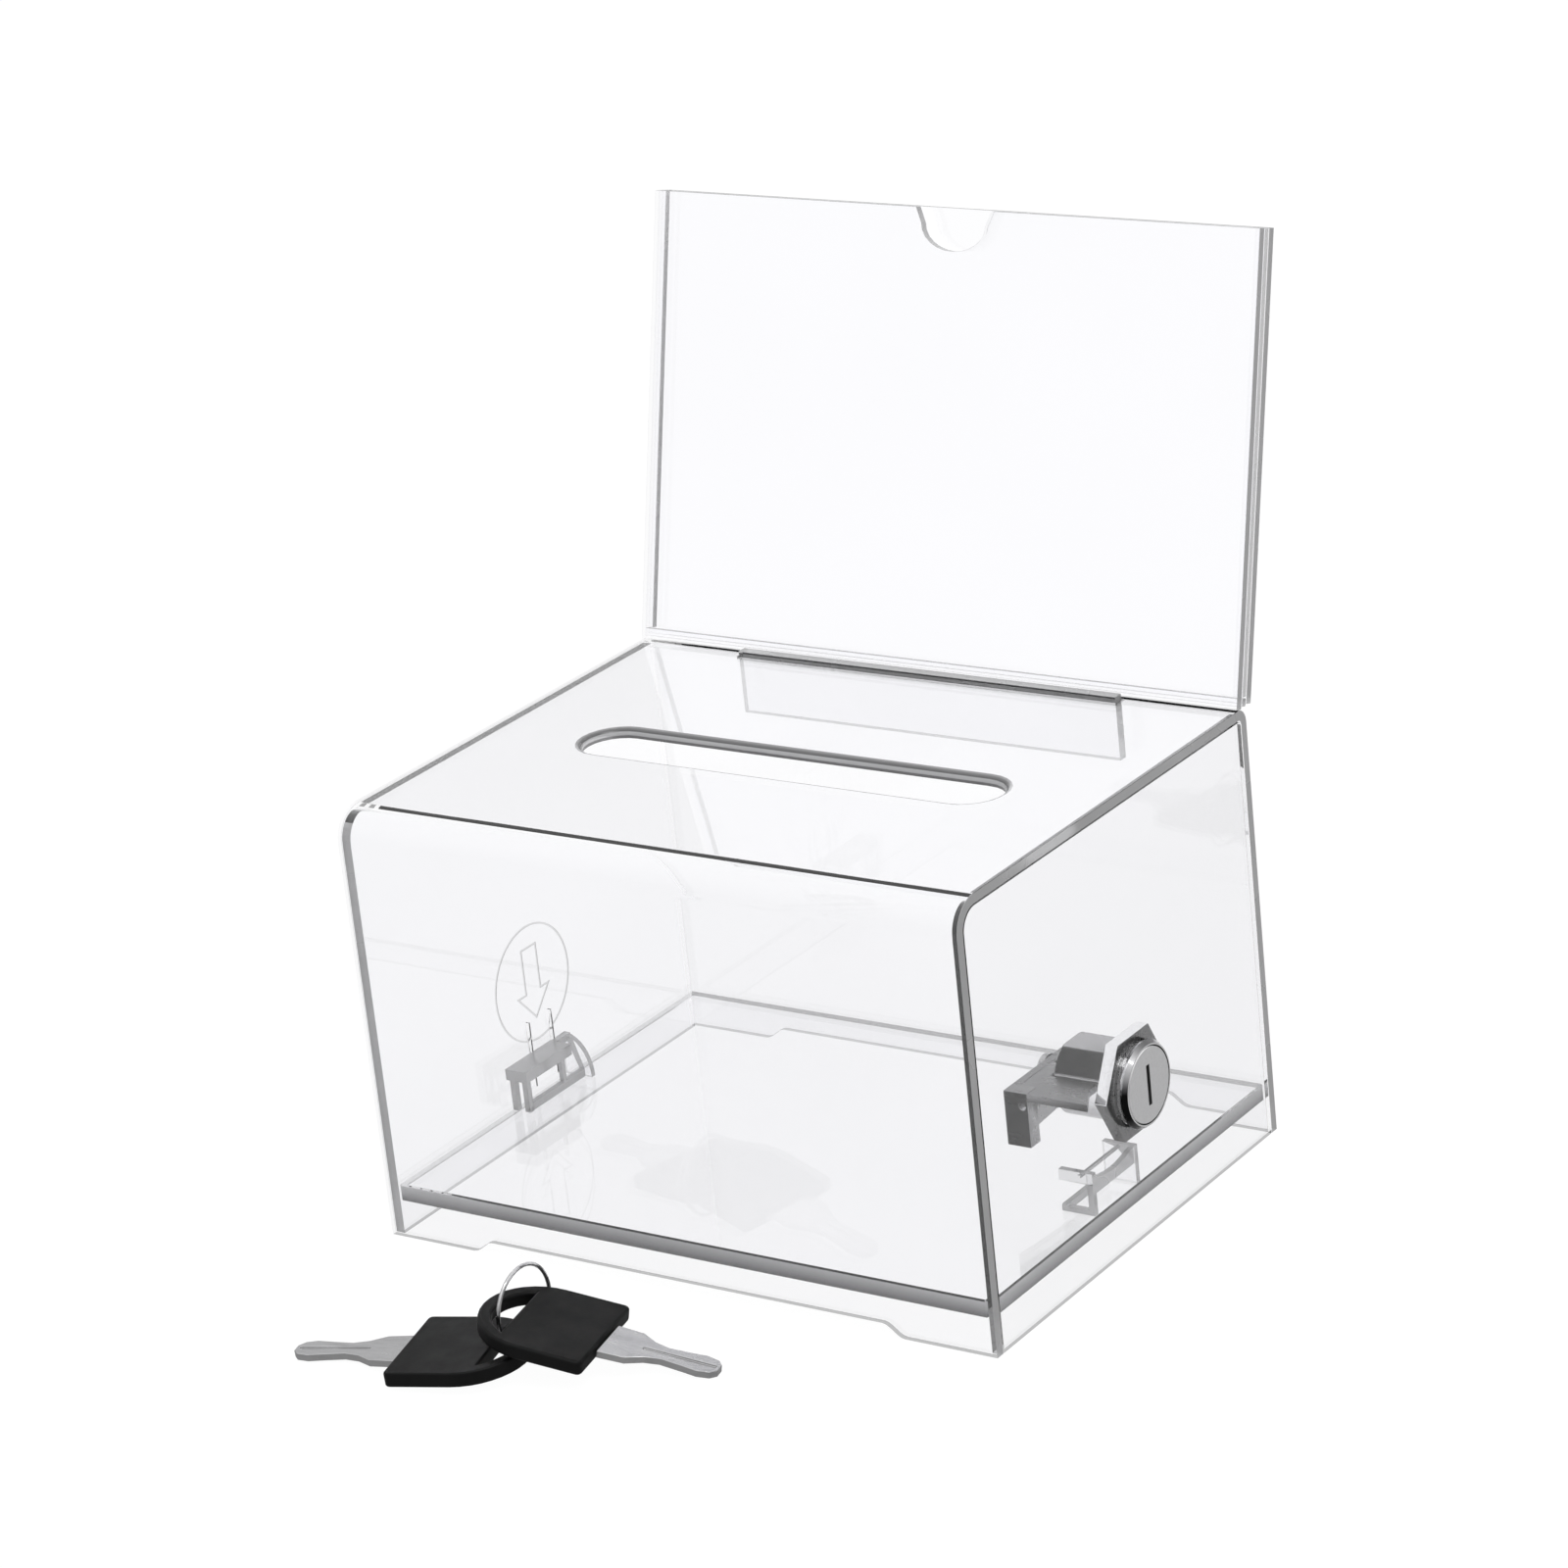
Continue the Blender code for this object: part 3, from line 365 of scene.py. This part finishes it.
def sheet_piece(node, normal, materials):
    """A flat sheet: clear along its normal, cut edges elsewhere, and a third material under its foot."""
    bm = cleaned_copy(node)
    for face in bm.faces:
        foot = face.normal.z < -MOSTLY and len(materials) > 2
        face.material_index = 0 if abs(face.normal.dot(normal)) > MOSTLY else (2 if foot else 1)
    add_piece(node, bm, materials, SHEET_EASE, 1)


def make_shell():
    """Bent sheet: cut ends at both sides, a rim around the money slot, and foot edges."""
    low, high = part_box("box_shell")
    bm = cleaned_copy("box_shell")
    for face in bm.faces:
        centre = face.calc_center_median()
        outermost = centre.x < low.x + 1 * MM or centre.x > high.x - 1 * MM
        on_end = abs(face.normal.x) > ALMOST_WHOLLY and outermost
        in_plate = PLATE_HEIGHTS[0] < centre.z < PLATE_HEIGHTS[1] - 0.01 * MM and not on_end
        in_slot = in_plate and low.y + WALL_ZONE < centre.y < high.y - WALL_ZONE
        in_tab_slot = in_plate and high.y - TAB_SLOT_ZONE[0] < centre.y < high.y - TAB_SLOT_ZONE[1]
        under = face.normal.z < -0.5 and centre.z < FOOT_HEIGHT
        kinds = ((on_end, 1), (under, 4), (in_slot, 2), (in_tab_slot, 3), (True, 0))
        face.material_index = next(index for matches, index in kinds if matches)
    add_piece("box_shell", bm, [SHEET, EDGE, RIM, TAB_SLOT, FOOT], SHEET_EASE, 1, 50)


def make_left_panel():
    """Flat panel with the engraved mark; its front edge shows grey behind the bent sheet."""
    low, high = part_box("left_side_panel")
    bm = cleaned_copy("left_side_panel", False)
    for face in bm.faces:
        centre = face.calc_center_median()
        flat = abs(face.normal.x) > MOSTLY
        groove_floor = flat and low.x + HAIR / 2 < centre.x < high.x - HAIR / 2
        in_middle = abs(centre.y - (low.y + high.y) / 2) < MARK_HALF_WIDTH
        groove_wall = not flat and in_middle and low.z + FOOT_HEIGHT < centre.z < high.z - MARK_TOP_MARGIN
        slit_wall = groove_wall and face.calc_area() > SLIT_WALL_AREA
        kinds = ((slit_wall, 0), (groove_floor or groove_wall, 2), (flat, 0))
        kinds += ((face.normal.z < -MOSTLY, 3), (face.normal.y < -MOSTLY, 1), (True, 0))
        face.material_index = next(index for matches, index in kinds if matches)
    add_piece("left_side_panel", bm, [SHEET, EDGE, GROOVE, FOOT], 0.0, smooth=False)


def make_right_panel():
    """Flat panel glued between the walls; only its foot edge stays grey."""
    bm = cleaned_copy("right_side_panel")
    for face in bm.faces:
        under = face.normal.z < -MOSTLY and face.calc_center_median().z < FOOT_HEIGHT
        face.material_index = 1 if under else 0
    add_piece("right_side_panel", bm, [SHEET, FOOT], SHEET_EASE, 1)


def make_base_floor():
    """Loose plate; its edges, seen through it, each get their own painted grey shade and see-through tint,
    the front and right edges also painted bands by height.
    """
    bm = cleaned_copy("base_floor")
    for face in bm.faces:
        along = face.normal
        kinds = ((abs(along.z) > MOSTLY, 0), (along.y > MOSTLY, 2), (along.x < -MOSTLY, 3), (True, 1))
        face.material_index = next(index for matches, index in kinds if matches)
    add_piece("base_floor", bm, [SHEET, FLOOR_EDGE, FLOOR_BACK, FLOOR_LEFT], SHEET_EASE, 1)


def make_clip(node):
    """Small bracket: its wide upright faces are clear, the rest is grey."""
    bm = cleaned_copy(node)
    for face in bm.faces:
        wide = abs(face.normal.y) > MOSTLY and face.calc_area() > CLIP_FACE_AREA
        face.material_index = 1 if wide else 0
    add_piece(node, bm, [CLIP, TAB_SHEET], 0.15 * MM)


def make_cam():
    """Hook plate with painted light and shade by facing; its small hole catches the light."""
    low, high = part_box("lock_cam")
    hole_x, hole_z = low.x + 4.5 * MM, high.z - 3.1 * MM
    bm = cleaned_copy("lock_cam", False)
    for face in bm.faces:
        centre = face.calc_center_median()
        from_hole = math.hypot(centre.x - hole_x, centre.z - hole_z)
        face.material_index = 1 if from_hole < 1.1 * MM and abs(face.normal.y) < 0.5 else 0
    add_piece("lock_cam", bm, [CAM, CHROME], 0.25 * MM, 3)


def make_acrylic():
    make_shell()
    make_left_panel()
    make_right_panel()
    make_base_floor()
    sheet_piece("sign_tab", Y_AXIS, [TAB_SHEET, TAB_SLOT])
    strips = ("sign_left_spacer", "sign_right_spacer", "sign_bottom_spacer")
    for node in ("sign_front_pane", "sign_rear_pane") + strips:
        sheet_piece(node, SIGN_NORMAL, [SIGN_SHEET, EDGE, SIGN_FOOT])
    for node in ("left_clip", "right_clip"):
        make_clip(node)


def make_plug():
    """Satin face, keyway painted near black as shadow, polished body."""
    low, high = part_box("lock_plug")
    bm = cleaned_copy("lock_plug")
    for face in bm.faces:
        centre = face.calc_center_median()
        deep = abs(face.normal.y) > ALMOST_WHOLLY and abs(centre.y - (low.y + high.y) / 2) < 0.8 * MM
        on_face = face.normal.x > ALMOST_WHOLLY and centre.x > high.x - HAIR
        face.material_index = 2 if deep else (1 if on_face else 0)
    add_piece("lock_plug", bm, [CHROME, FACE, KEYWAY_PAINTED_SHADOW], 0.12 * MM)


def make_housing():
    """Barrel with painted light and dark reflection bands, head with darker painted reflection bands."""
    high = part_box("lock_housing")[1]
    bm = cleaned_copy("lock_housing")
    behind_nut = Vector((high.x - 5.2 * MM, 0, 0))
    everything = bm.verts[:] + bm.edges[:] + bm.faces[:]
    bmesh.ops.bisect_plane(bm, geom=everything, plane_co=behind_nut, plane_no=X_AXIS)
    for face in bm.faces:
        centre = face.calc_center_median()
        rim = face.normal.x > ALMOST_WHOLLY and centre.x > high.x - HAIR
        face.material_index = 2 if rim else (1 if centre.x > behind_nut.x else 0)
    add_piece("lock_housing", bm, [BARREL, HEAD, FACE], 0.1 * MM, 2, 20)


def make_nut():
    """Bright flats, with painted shade on the face towards the panel and on the lower flats."""
    bm = cleaned_copy("lock_nut")
    for face in bm.faces:
        # faces that get painted shade
        shaded = face.normal.x > ALMOST_WHOLLY or face.normal.z < -0.3
        face.material_index = 1 if shaded else 0
    add_piece("lock_nut", bm, [CHROME, NUT_PAINTED_SHADE], 0.25 * MM)


def make_lock():
    make_plug()
    make_housing()
    make_nut()
    make_cam()
    add_piece("cam_screw", cleaned_copy("cam_screw"), [SCREW], 0.1 * MM)
    for node in ("lock_wafer_1", "lock_wafer_2", "lock_wafer_3", "lock_wafer_4"):
        add_piece(node, cleaned_copy(node), [BRASS], 0.1 * MM)


def make_keys():
    for side in ("left", "right"):
        add_piece("key_head_" + side, cleaned_copy("key_head_" + side), [BLACK], 0.9 * MM, 5)
        add_piece("key_blade_" + side, cleaned_copy("key_blade_" + side), [NICKEL], 0.15 * MM)
    add_piece("key_ring", cleaned_copy("key_ring"), [WIRE], 0.0)


# ---------------------------------------------------------------- stage, light and camera

CAMERA_PLACE = Vector((619.2, -846.0, 490.0)) * MM
CAMERA_TURN = math.radians(35.79)
CAMERA_DOWN = math.radians(20.32)
CAMERA_ROLL = math.radians(-6.196)
CAMERA_LENS = 118.8

TABLE_HALF_SIZE = 6.0
TABLE_DROP = 0.2 * MM               # keeps the table top clear of the feet
TABLE_GREY = 0.06
TABLE_GLOW = 0.97                   # white as seen directly and through the sheets
TABLE_GLOW_MIRRORED = 0.3           # greyer in what metal and sheet faces mirror
HORIZON_COLOUR = (0.28, 0.28, 0.29, 1)
SKY_HEIGHT = 0.75                   # from which the mirrored surroundings are fully white
SKY_STRENGTH = 1.05
SOFTBOX_PLACE = (0.5, -0.3, 1.1)
SOFTBOX_AIM = (0, 0, 0.08)
SOFTBOX_SIZE = (0.7, 0.5)
SOFTBOX_POWER = 4.0


def make_camera():
    """Long lens from the front right, a little above the box."""
    data = bpy.data.cameras.new("camera")
    data.lens = CAMERA_LENS
    data.sensor_width = 36.0
    camera = bpy.data.objects.new("camera", data)
    bpy.context.scene.collection.objects.link(camera)
    turn = Matrix.Rotation(CAMERA_TURN, 4, "Z")
    tip = Matrix.Rotation(math.pi / 2 - CAMERA_DOWN, 4, "X")
    roll = Matrix.Rotation(CAMERA_ROLL, 4, "Z")
    camera.matrix_world = Matrix.Translation(CAMERA_PLACE) @ turn @ tip @ roll
    bpy.context.scene.camera = camera


def light_path(tree, *kinds):
    """1 for any of the given kinds of ray, 0 for others."""
    path = tree.nodes.new("ShaderNodeLightPath")
    total = path.outputs[kinds[0]]
    for kind in kinds[1:]:
        biggest = tree.nodes.new("ShaderNodeMath")
        biggest.operation = "MAXIMUM"
        tree.links.new(total, biggest.inputs[0])
        tree.links.new(path.outputs[kind], biggest.inputs[1])
        total = biggest.outputs[0]
    return total


def make_floor():
    """Plain white table top."""
    mesh = bpy.data.meshes.new("table_top")
    bm = bmesh.new()
    bmesh.ops.create_grid(bm, x_segments=1, y_segments=1, size=TABLE_HALF_SIZE)
    bmesh.ops.translate(bm, verts=bm.verts, vec=(0, 0, -TABLE_DROP))
    bm.to_mesh(mesh)
    bm.free()
    material, tree, shader = new_material("white_table")
    shader.inputs["Base Color"].default_value = (TABLE_GREY, TABLE_GREY, TABLE_GREY, 1)
    shader.inputs["Roughness"].default_value = 0.9
    shader.inputs["Specular IOR Level"].default_value = 0.0
    shader.inputs["Emission Color"].default_value = (1, 1, 1, 1)
    mirrored = light_path(tree, "Is Reflection Ray")
    glow = spread(tree, mirrored, TABLE_GLOW, TABLE_GLOW_MIRRORED, 0.0, 1.0)
    tree.links.new(glow, shader.inputs["Emission Strength"])
    mesh.materials.append(material)
    floor = bpy.data.objects.new("table_top", mesh)
    bpy.context.scene.collection.objects.link(floor)


def make_world():
    """White surroundings; what metal and sheet faces mirror is brighter overhead than near the horizon."""
    world = bpy.data.worlds.new("studio")
    world.use_nodes = True
    tree = world.node_tree
    background = tree.nodes["Background"]
    coords = tree.nodes.new("ShaderNodeTexCoord")
    split = tree.nodes.new("ShaderNodeSeparateXYZ")
    tree.links.new(coords.outputs["Generated"], split.inputs["Vector"])
    dome = tree.nodes.new("ShaderNodeValToRGB")
    dome.color_ramp.elements[0].position = 0.0
    dome.color_ramp.elements[0].color = HORIZON_COLOUR
    dome.color_ramp.elements[1].position = SKY_HEIGHT
    dome.color_ramp.elements[1].color = (1, 1, 1, 1)
    tree.links.new(split.outputs["Z"], dome.inputs["Fac"])
    mix = tree.nodes.new("ShaderNodeMix")
    mix.data_type = "RGBA"
    tree.links.new(light_path(tree, "Is Camera Ray", "Is Transmission Ray"), mix.inputs["Factor"])
    tree.links.new(dome.outputs["Color"], mix.inputs["A"])
    mix.inputs["B"].default_value = (1, 1, 1, 1)
    tree.links.new(mix.outputs["Result"], background.inputs["Color"])
    background.inputs["Strength"].default_value = SKY_STRENGTH
    bpy.context.scene.world = world


def make_softbox():
    """One soft rectangular light above the front right."""
    data = bpy.data.lights.new("key_softbox", "AREA")
    data.shape = "RECTANGLE"
    data.size, data.size_y = SOFTBOX_SIZE
    data.energy = SOFTBOX_POWER
    light = bpy.data.objects.new("key_softbox", data)
    bpy.context.scene.collection.objects.link(light)
    light.location = SOFTBOX_PLACE
    aim = Vector(SOFTBOX_AIM) - Vector(SOFTBOX_PLACE)
    light.rotation_euler = aim.to_track_quat("-Z", "Y").to_euler()


make_acrylic()
make_lock()
make_keys()
make_camera()
make_floor()
make_world()
make_softbox()
bpy.context.scene.view_settings.view_transform = "Standard"
